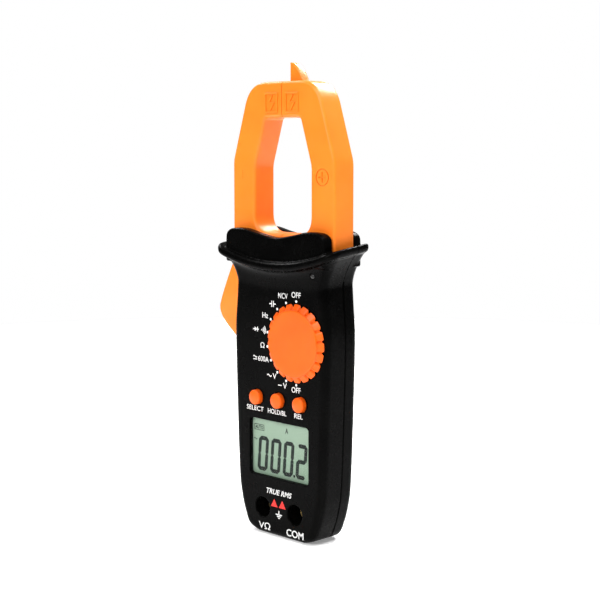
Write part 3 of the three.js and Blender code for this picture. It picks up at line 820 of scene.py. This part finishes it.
def jaw_ring():
    ring = slab("ring", jaw_loop(0), edge_layers(JAW_FRONT, JAW_BACK, JAW_ROUND, 8))
    opening = slab(
        "opening", jaw_loop(JAW_BAND, OPENING_TOP, OPENING_BOTTOM, 1.5),
        mouth_layers(JAW_FRONT, JAW_BACK, JAW_ROUND, steps=8),
    )
    return cut(ring, opening)


def core_tunnel():
    """The tunnel in the jaws that the magnetic core lies in."""
    depth = CORE_HALF_DEPTH + CORE_PLAY
    cover = CORE_COVER - CORE_PLAY
    outer = jaw_loop(cover, JAW_TOP - cover, CORE_BOTTOM - CORE_PLAY, 7)
    inner = jaw_loop(
        JAW_BAND - cover, OPENING_TOP + cover, OPENING_BOTTOM - 1.7 + CORE_PLAY, 3,
    )
    tunnel = slab("tunnel", outer, [(JAW_MIDDLE - depth, 0), (JAW_MIDDLE + depth, 0)])
    return cut(tunnel, slab(
        "core_eye", inner, [(JAW_MIDDLE - depth - 1, 0), (JAW_MIDDLE + depth + 1, 0)],
    ))


def half_ring(side):
    """One jaw: the ring on one side of the seam."""
    low, high = sorted([side * GAP / 2, side * 60])
    return common(jaw_ring(), block("half", low, high, -30, 30, 90, 210))


def bolt_plate(side):
    """The moulded sign beside the seam: a raised frame with a zigzag in it."""
    low, high = sorted([side * 2.2, side * 9.6])
    foot, top = 176.7, 184.9
    rim = 0.7
    proud = 0.5
    bevel = 0.15
    crest = JAW_FRONT - proud
    rim_outside = slab(
        "sign", rectangle(low, high, foot, top, 0.5),
        [(crest, bevel), (crest + bevel, 0), (JAW_FRONT + 0.5, 0)],
    )
    rim_inside = slab(
        "sign_inner", rectangle(low + rim, high - rim, foot + rim, top - rim, 0.3),
        [(JAW_FRONT - 1, -0.1), (JAW_FRONT - 0.05, 0)],
    )
    middle = (low + high) / 2
    path = [
        (middle + 0.6, top - 1.1), (middle - 1.4, 180.9), (middle + 1.3, 180.6),
        (middle - 0.6, foot + 1.1),
    ]
    zigzag = ribbon("zigzag", path, 0.75, crest, JAW_FRONT + 0.4)
    return join(cut(rim_outside, rim_inside), zigzag)


def ribbon(name, path, width, front, rear):
    """A stroke of even width along a path, made thick in y."""
    points = [Vector(point) for point in path]
    left, right = [], []
    for index, point in enumerate(points):
        before = points[max(index - 1, 0)]
        after = points[min(index + 1, len(points) - 1)]
        first = (point - before).normalized() if index else (after - point).normalized()
        second = (after - point).normalized() if index < len(points) - 1 else first
        normal, reach = mitre(first, second, 0.45)
        left.append(tuple(point + normal * (width / 2 / reach)))
        right.append(tuple(point - normal * (width / 2 / reach)))
    outline = right + left[::-1]
    return slab(name, outline, [(front, 0), (rear, 0)])


def fixed_jaw():
    jaw = half_ring(1)
    foot = slab("foot", rounded([
        (3, 110), (17, 110), (17, 114.5), (26, 115.2), (27.6, 116.8), (28, 122), (3, 122),
    ], 0.6), [(JAW_FRONT + 0.8, 0), (JAW_BACK - 0.8, 0)])
    crest = [(8.4, JAW_TOP), (6.2, 193.2), (3.4, 196.1), (0.9, 197)]
    fin = slab(
        "fin", [(0.9, 186), (8.4, 186)] + spline(crest, 20),
        edge_layers(JAW_MIDDLE - 2, JAW_MIDDLE + 2, 0.5, 4),
    )
    lead_slot = block("lead_slot", 0, 2.4, JAW_MIDDLE - 1.6, JAW_MIDDLE + 1.6, 116, 121)
    ring = slab(
        "mark_ring", circle(MARK, 3.6, 48), [(JAW_FRONT - 1, 0), (JAW_FRONT + ENGRAVED, 0.12)],
    )
    cut(ring, slab("eye", circle(MARK, 3.1, 48), [(JAW_FRONT - 2, 0), (JAW_FRONT + 1, 0)]))
    bars = cross(MARK, 2.1, 0.36, [(JAW_FRONT - 1, 0), (JAW_FRONT + ENGRAVED, 0.08)])
    join(jaw, foot, fin, bolt_plate(1))
    cut(jaw, core_tunnel(), lead_slot, ring, *bars)
    jaw.name = "fixed_jaw_shell"
    dressed(jaw, "case", "orange_shell", ORANGE, "fixed_jaw")


def moving_jaw():
    jaw = half_ring(-1)
    trunk = slab("trunk", rectangle(-23.5, -16.5, 116.9, 121, 1), [(JAW_FRONT, 0), (JAW_BACK, 0)])
    pins = [
        rod("pin", PIVOT, PIN_HOLE, JAW_FRONT - 1, JAW_FRONT + 2.2),
        rod("pin", PIVOT, PIN_HOLE, JAW_BACK - 2.2, JAW_BACK + 1),
    ]
    mark = slab(
        "mark", rectangle(-23.6, -22.4, 149.6, 153.6, 0.3),
        [(JAW_FRONT - 1, 0), (JAW_FRONT + 0.2, 0.08)],
    )
    join(jaw, trunk, bolt_plate(-1))
    cut(jaw, core_tunnel(), mark, *pins)
    jaw.name = "moving_jaw_shell"
    dressed(jaw, "jaw", "orange_shell", ORANGE, "moving_jaw")


def trigger_lever():
    outer = [
        (-31.2, 115.6), (-33.4, 112), (-37.1, 104.4), (-40, 97.6), (-41, 93.6), (-39.6, 90),
        (-36.6, 86.8), (-31.6, 82.8), (-28, 80.2),
    ]
    inner = [
        (-28, 80.2), (-25.3, 80.9), (-24.4, 85), (-21.8, 98), (-17.6, 107), (-13.5, 111.5),
    ]
    outline = [(-27, 116.4)] + spline(outer, 60) + spline(inner, 40)[1:] + [(-13.5, 116.4)]
    half = 4
    lever = slab("lever_shell", outline, edge_layers(JAW_MIDDLE - half, JAW_MIDDLE + half, 1.1))
    dressed(lever, "jaw", "orange_shell", ORANGE, "trigger_lever")


# Dial and keys -----------------------------------------------------------------------

def rotary_knob():
    """The fluted knob: a low cone with narrow grooves down its side, and a dished face."""
    base = FACE - GAP
    front = base - DIAL_HEIGHT
    sides = DIAL_FLUTES * 20
    round_by = 0.55
    groove = 1.25
    groove_width = 0.12         # part of the pitch

    def ring(y, reach, depth):
        points = []
        for index in range(sides):
            t = 2 * math.pi * index / sides
            phase = (index / sides * DIAL_FLUTES) % 1 - 0.5
            radius = reach - depth * math.exp(-(phase / groove_width) ** 2)
            points.append((DIAL[0] + radius * math.cos(t), y, DIAL[1] + radius * math.sin(t)))
        return points

    dish = 0.2
    flat = DIAL_FACE - 1.5
    rings = [
        ring(front + dish * (1 - (part / 5) ** 2), flat * part / 5, 0) for part in range(1, 6)
    ]
    rings += [ring(front + y, DIAL_FACE - x, 0) for x, y in quarter_turn(round_by, 6)]
    for part in (0.1, 0.2, 0.35, 0.5, 0.7, 0.85, 1):
        y = front + round_by + (DIAL_HEIGHT - round_by - 0.25) * part
        reach = DIAL_FACE + (DIAL_BASE - DIAL_FACE) * part
        rings.append(ring(y, reach, groove * min(1, 4 * part)))
    rings.append(ring(base, DIAL_BASE - 0.12, groove))
    rings += [ring(base, DIAL_HUB, 0), ring(FACE + WALL + 0.8, DIAL_HUB, 0)]
    knob = closed("knob", rings)
    dressed(knob, "dial", "orange_knob", KNOB_ORANGE, "rotary_knob", angle=40)


def key_cap(name, side, body, node):
    """A domed round key with a flange below the face."""
    front = FACE - KEY_PROUD
    flange = KEY_RADIUS + 0.7
    dome = 0.35
    round_by = 0.6
    steps = 6
    profile = [
        ((KEY_RADIUS - round_by) * step / steps, front + dome * (step / steps) ** 2)
        for step in range(1, steps + 1)
    ]
    profile += [
        (KEY_RADIUS - x, front + dome + y) for x, y in quarter_turn(round_by, steps)[1:]
    ]
    profile += [
        (KEY_RADIUS, -7.5), (KEY_RADIUS + 0.1, -7.4), (flange, -7.4), (flange, -6.8),
    ]
    key = turned(name, profile, (side * KEY_PITCH, KEY_Z), 72)
    dressed(key, body, "orange_knob", KNOB_ORANGE, node)


# Lettering ---------------------------------------------------------------------------

def lettering(name, text, centre, height, width=None, slant=0.0, weight=0.0, front=FACE,
              material=WHITE_PRINT, slot="white_plastic"):
    """Printed text centred on a point, with capitals of a given height in millimetres."""
    curve = bpy.data.curves.new(name, "FONT")
    curve.body = text
    curve.size = 1
    curve.shear = slant
    curve.offset = weight
    curve.resolution_u = 4
    curve.extrude = 0.5
    carrier = piece(name, curve)
    bpy.context.view_layer.update()
    mesh = bpy.data.meshes.new_from_object(
        carrier.evaluated_get(bpy.context.evaluated_depsgraph_get()))
    bpy.data.objects.remove(carrier)
    bpy.data.curves.remove(curve)
    low = [min(v.co[axis] for v in mesh.vertices) for axis in range(2)]
    high = [max(v.co[axis] for v in mesh.vertices) for axis in range(2)]
    tall = height / (high[1] - low[1])
    wide = tall if width is None else width / (high[0] - low[0])
    for vertex in mesh.vertices:
        x, z, depth = vertex.co
        vertex.co = metres(
            centre[0] + (x - (low[0] + high[0]) / 2) * wide,
            front - PRINT * (depth + 0.5) + SUNK,
            centre[1] + (z - (low[1] + high[1]) / 2) * tall,
        )
    marked(piece(name, mesh), material)


def marked(made, material=WHITE_PRINT, body="case"):
    made.data.materials.clear()
    made.data.materials.append(material)
    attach(made, body)
    return made


def joined(name, parts):
    """Several separate meshes as one piece."""
    build = bmesh.new()
    for part in parts:
        build.from_mesh(part.data)
        discard(part)
    whole = bpy.data.meshes.new(name)
    build.to_mesh(whole)
    build.free()
    return piece(name, whole)


def stroke(path, width=0.42, front=FACE):
    return ribbon("stroke", path, width, front - PRINT + SUNK, front + SUNK)


def wave(centre, width, height):
    """A sine stroke, for alternating current."""
    x, z = centre
    return [
        (x + width * (step / 12 - 0.5), z + height * math.sin(step / 12 * 2 * math.pi))
        for step in range(13)
    ]


def dial_dots():
    dots = []
    for degrees in range(90, 271, 20):
        t = math.radians(degrees)
        at = (DIAL[0] + DOT_RING * math.cos(t), DIAL[1] + DOT_RING * math.sin(t))
        dots.append(slab("dot", circle(at, 0.55, 20), PRINTED))
    marked(joined("dial_dots", dots))


def capacitor_sign(x, z):
    strokes = [
        stroke([(x - 1.9, z), (x - 0.5, z)]), stroke([(x + 0.5, z), (x + 1.9, z)]),
        stroke([(x - 0.5, z - 1.3), (x - 0.5, z + 1.3)]),
        stroke([(x + 0.5, z - 1.3), (x + 0.5, z + 1.3)]),
    ]
    marked(joined("capacitor_sign", strokes))


def diode_and_buzzer_sign(x, z):
    source = (x + 0.8, z)
    strokes = [
        slab("triangle", [(x - 3.6, z - 0.95), (x - 2.0, z), (x - 3.6, z + 0.95)], PRINTED),
        stroke([(x - 4.5, z), (x - 3.6, z)]), stroke([(x - 2.0, z), (x - 1.1, z)]),
        stroke([(x - 1.9, z - 1.0), (x - 1.9, z + 1.0)]),
        slab("source", circle(source, 0.32, 16), PRINTED),
    ]
    strokes += [stroke(arc(source, radius, -48, 48), 0.38) for radius in (0.9, 1.55, 2.2)]
    marked(joined("diode_and_buzzer_sign", strokes))


def current_sign(x, z):
    """A wave over a bar: alternating or direct."""
    marked(joined("current_sign", [
        stroke(wave((x, z + 0.55), 2.3, 0.32), 0.36),
        stroke([(x - 1.1, z - 0.55), (x + 1.1, z - 0.55)], 0.36),
    ]))


def earth_sign(x, z):
    marked(joined("earth_sign", [
        stroke([(x, z + 1.65), (x, z)], 0.5),
        stroke([(x - 1.8, z), (x + 1.8, z)], 0.5),
        stroke([(x - 1.15, z - 0.75), (x + 1.15, z - 0.75)], 0.45),
        stroke([(x - 0.5, z - 1.45), (x + 0.5, z - 1.45)], 0.42),
    ]))


def caution_triangles():
    parts = [
        slab("triangle", rounded([(x - 2.05, 12.9), (x + 2.05, 12.9), (x, 16.3)], 0.35, 4), PRINTED)
        for x in (-2.45, 2.3)
    ]
    marked(joined("caution_triangles", parts), RED_PRINT)


FACE_TEXTS = [      # name, words, middle, height, width and how much the strokes are thickened
    ("text_off_upper", "OFF", (10.5, 103.3), 2.3, 5.2, 0.006),
    ("text_ncv", "NCV", (2.9, 102.4), 2.3, 5.4, 0.006),
    ("text_hz", "Hz", (-7.6, 93.5), 2.3, 3.4, 0.006),
    ("text_ohm", "Ω", (-9.3, 80.8), 2.3, 2.4, 0.006),
    ("text_600a", "600A", (-8.8, 75.0), 2.2, 6.4, 0.004),
    ("text_ac_volts", "V", (-2.1, 68.5), 2.3, 2.2, 0.006),
    ("text_dc_volts", "V", (4.0, 65.1), 2.3, 2.2, 0.006),
    ("text_off_lower", "OFF", (10.5, 64.2), 2.3, 5.2, 0.006),
    ("text_select", "SELECT", (-13.9, 53.5), 2.0, 10.2, 0.006),
    ("text_hold", "HOLD/BL", (-0.7, 53.5), 2.0, 10.9, 0.006),
    ("text_rel", "REL", (11.9, 53.5), 2.0, 4.8, 0.006),
    ("text_volt_ohm", "VΩ", (-8.4, 3.65), 3.0, 6.9, 0.006),
    ("text_com", "COM", (9.8, 3.5), 3.1, 10.0, 0.016),
]


def face_print():
    for name, words, middle, height, width, weight in FACE_TEXTS:
        lettering(name, words, middle, height, width, weight=weight)
    lettering("text_true_rms", "TRUE RMS", (0.4, 19.3), 2.3, 15, slant=0.25, weight=0.014)
    dial_dots()
    capacitor_sign(-3.2, 98.6)
    diode_and_buzzer_sign(-10.4, 87.2)
    current_sign(-13.8, 75.0)
    marked(joined("wave_sign", [stroke(wave((-5.2, 68.5), 2.6, 0.38), 0.4)]))
    marked(joined("bar_sign", [stroke([(0.0, 65.1), (2.1, 65.1)], 0.4)]))
    caution_triangles()
    earth_sign(0.3, 9.9)


# Display -----------------------------------------------------------------------------

SEGMENTS = {"0": "abcdef", "2": "abged"}


def on_display(made):
    return marked(made, LCD_SEGMENT)


def seven_segment(name, digit, left, low):
    """One digit: six-sided bars that lean to the right."""
    width, height = 4.3, 13.2
    half = height / 2
    chop = 1.75 / 2         # half a bar's width
    lean = 0.08
    small = 0.1             # gap at each end of a bar
    ends = {
        "a": ((0, height), (width, height)), "g": ((0, half), (width, half)),
        "d": ((0, 0), (width, 0)), "f": ((0, half), (0, height)), "e": ((0, 0), (0, half)),
        "b": ((width, half), (width, height)), "c": ((width, 0), (width, half)),
    }
    bars = []
    for segment in SEGMENTS[digit]:
        start, end = (Vector(point) for point in ends[segment])
        along = (end - start).normalized()
        across = Vector((-along.y, along.x)) * chop
        start += along * small
        end -= along * small
        slope = along * chop * 0.45
        outline = [
            start - slope, start + slope - across, end - slope - across,
            end + slope, end - slope + across, start + slope + across,
        ]
        placed = [(left + p.x + p.y * lean, low + p.y) for p in outline]
        bars.append(slab("bar", placed, LCD_PRINTED))
    on_display(joined(name, bars))


def display():
    low = 27.4
    first = -13.9
    pitch = 7.6
    for index, digit in enumerate("0002"):
        seven_segment(f"digit_{index + 1}", digit, first + index * pitch, low)
    on_display(slab(
        "decimal_point", circle((first + 3 * pitch - 1.6, low - 0.1), 0.62, 20), LCD_PRINTED,
    ))
    lcd = {"front": LCD_FRONT, "material": LCD_SEGMENT, "slot": "display", "weight": 0.03}
    lettering("text_auto", "AUTO", (-13.6, 45.0), 1.5, 4.9, **lcd)
    box = slab("auto_frame", rectangle(-16.6, -10.6, 43.7, 46.3, 0.3), LCD_PRINTED)
    inner = slab(
        "inner", rectangle(-16.35, -10.85, 43.95, 46.05, 0.2),
        [(LCD_FRONT - 1, 0), (LCD_FRONT + 1, 0)],
    )
    on_display(cut(box, inner))
    lettering("text_unit", "A", (2.9, 45.7), 2.3, 1.7, **lcd)
    sign = stroke(wave((-15.9, 39.8), 1.9, 0.3), 0.34, LCD_FRONT)
    on_display(joined("alternating_sign", [sign]))


def window():
    left, right, low, high = WINDOW
    glass = slab(
        "clear_window", rectangle(left + GAP, right - GAP, low + GAP, high - GAP, 1.6),
        edge_layers(-9.2, -8, 0.25, 4),
    )
    dressed(glass, "case", "window", WINDOW_CLEAR, "display_window")


# Sockets and lamp --------------------------------------------------------------------

def socket_sleeve(name, side, node):
    bore, well, outside = 3, SOCKET_WELL, 5.3
    seat, rear = 4.6, 5.8
    profile = [
        (bore, seat), (well, seat), (well, -6.9), (well + 0.3, -7.4), (outside, -7.4),
        (outside, rear), (bore, rear),
    ]
    sleeve = turned(name, profile, (side * SOCKET_X, SOCKET_Z), welded=True)
    dressed(sleeve, "case", "black_shell", BLACK, node)


def contact_tube(name, side, node):
    """A split spring contact for a 4 mm plug."""
    at = (side * SOCKET_X, SOCKET_Z)
    bore, outside, flange = 2, 2.6, 3.6
    tube = turned(name, [
        (bore, 5.4), (bore, TUBE_FRONT + 0.3), (2.25, TUBE_FRONT), (2.45, TUBE_FRONT),
        (outside, TUBE_FRONT + 0.2), (outside, 6.2), (flange, 6.2), (flange, 7.2),
    ], at, 56)
    cut(tube, *cross(at, 3, 0.18, [(-9, 0), (3, 0)]))
    dressed(tube, "case", "brass", BRASS, node)


def indicator_lamp():
    """The small smoked lens of the voltage lamp, nearly flush with the case."""
    lamp = turned("lamp", [
        (0.3, -10.4), (0.6, -10.36), (0.85, -10.25), (1, -10.05), (1, -7.9), (1.15, -7.8),
        (1.15, -7.6),
    ], LED, 40)
    dressed(lamp, "case", "dark_plastic", SMOKED, "ncv_led")


# Hidden parts keep their CAD shape ---------------------------------------------------

HIDDEN = [
    (STEEL, [
        "pivot_pin_front", "pivot_pin_rear", "trigger_spring", "detent_ball", "quartz_crystal",
        "battery_spring_1", "battery_spring_2", "battery_plate_1", "battery_plate_2",
        "battery_bridge",
    ]),
    (BRASS, ["dial_wiper_1", "dial_wiper_2", "dial_wiper_3"]),
    (CORE, ["fixed_core", "moving_core"]),
    (DISPLAY, ["display_panel"]),
    (BOARD, ["main_board"]),
    (DARK, ["hall_sensor", "measuring_chip", "buzzer", "thermistor", "display_frame"]),
    (WHITE, ["dial_rotor", "backlight_sheet", "sensor_lead"]),
    (RUBBER, ["keypad_membrane", "contact_strip"]),
    (SLEEVE, ["battery_1", "battery_2"]),
]


def dress_hidden_parts():
    for material, names in HIDDEN:
        for name in names:
            node = NODES[name]
            node.data.materials.clear()
            node.data.materials.append(material)


# Studio ------------------------------------------------------------------------------

def studio_floor():
    """A pale paper floor."""
    finish = Finish("paper")
    finish.colour(finish.ramp(finish.noise(60, 3), (0.3, 0.93), (0.7, 0.96)))
    finish.set(Roughness=0.9, Specular_IOR_Level=0.1)
    finish.set(Emission_Strength=0.25, Emission_Color=(1, 1, 1, 1))
    floor = slab("floor", circle((0, 0), 700, 96), [(-1, 0), (1, 0)])
    floor.data.transform(Matrix.Translation((0, 0, -0.001)) @ Matrix.Rotation(math.pi / 2, 4, "X"))
    floor.data.materials.append(finish.material)


def softbox(name, place, size, power):
    """A soft rectangular light aimed at the middle of the meter."""
    light = bpy.data.lights.new(name, "AREA")
    light.shape = "RECTANGLE"
    light.size, light.size_y = size
    light.energy = power
    holder = piece(name, light)
    holder.location = place
    aim = Vector((0, 0, 0.11)) - Vector(place)
    holder.rotation_euler = aim.to_track_quat("-Z", "Y").to_euler()


def studio_room():
    """A white backdrop, with a room that is bright behind the meter and dim before it."""
    world = bpy.data.worlds.new("studio")
    world.use_nodes = True
    tree = world.node_tree
    add, link = tree.nodes.new, tree.links.new
    backdrop = tree.nodes["Background"]
    backdrop.inputs["Strength"].default_value = 1.0
    room = add("ShaderNodeBackground")
    for background in (backdrop, room):
        background.inputs["Color"].default_value = (1, 1, 1, 1)
    ways = add("ShaderNodeTexCoord")
    parts = add("ShaderNodeSeparateXYZ")
    spread = add("ShaderNodeMapRange")
    for name, value in (("From Min", -0.3), ("From Max", 0.7), ("To Min", 0.12), ("To Max", 0.3)):
        spread.inputs[name].default_value = value
    link(ways.outputs["Generated"], parts.inputs[0])
    link(parts.outputs["Y"], spread.inputs["Value"])
    link(spread.outputs["Result"], room.inputs["Strength"])
    seen = add("ShaderNodeLightPath")
    mix = add("ShaderNodeMixShader")
    link(seen.outputs["Is Camera Ray"], mix.inputs[0])
    link(room.outputs[0], mix.inputs[1])
    link(backdrop.outputs[0], mix.inputs[2])
    link(mix.outputs[0], tree.nodes["World Output"].inputs["Surface"])
    bpy.context.scene.world = world


def studio():
    studio_floor()
    studio_room()
    softbox("key", (0.02, -1.00, 0.75), (0.6, 0.6), 12)
    softbox("back", (-0.10, 0.65, 0.75), (0.5, 0.15), 11)
    softbox("left", (-0.75, 0.05, 0.75), (0.5, 0.12), 5)
    softbox("right", (0.22, 0.00, 0.58), (0.25, 0.25), 2.6)
    bpy.context.scene.view_settings.view_transform = "Standard"


def camera():
    data = bpy.data.cameras.new("camera")
    data.lens = 80.4
    data.sensor_width = 36
    data.clip_start = 0.01
    data.clip_end = 20
    holder = piece("camera", data)
    holder.location = (0.3917, -0.3911, 0.1648)
    azimuth = math.radians(44.80)
    pitch = math.radians(6.71)
    backwards = Vector((
        math.sin(azimuth) * math.cos(pitch), -math.cos(azimuth) * math.cos(pitch), math.sin(pitch),
    ))
    holder.rotation_euler = (-backwards).to_track_quat("-Z", "Y").to_euler()
    bpy.context.scene.camera = holder


# Assembly ----------------------------------------------------------------------------

camera()
studio()

shell = hollow_case()
front_case(piece("front_half", shell.data.copy()))
rear_case(shell)
battery_cover()
for number, at in enumerate(SCREWS, 1):
    screw(f"rear_screw_{number}", at, SCREW_SEAT, SCREW_SEAT + 2, SCREW_TIP, f"case_screw_{number}")
screw("door_screw", (0, COVER_SCREW_Z), 8.6, 9.4, 3.8, "battery_cover_screw")

fixed_jaw()
moving_jaw()
trigger_lever()

rotary_knob()
for side, word in ((-1, "select"), (0, "hold"), (1, "relative")):
    key_cap(f"{word}_key_cap", side, f"{word}_key", f"{word}_button")

for side, word in ((-1, "voltage"), (1, "common")):
    socket_sleeve(f"{word}_sleeve", side, f"{word}_socket_sleeve")
    contact_tube(f"{word}_contact", side, f"{word}_contact_tube")
indicator_lamp()

window()
display()
face_print()
dress_hidden_parts()
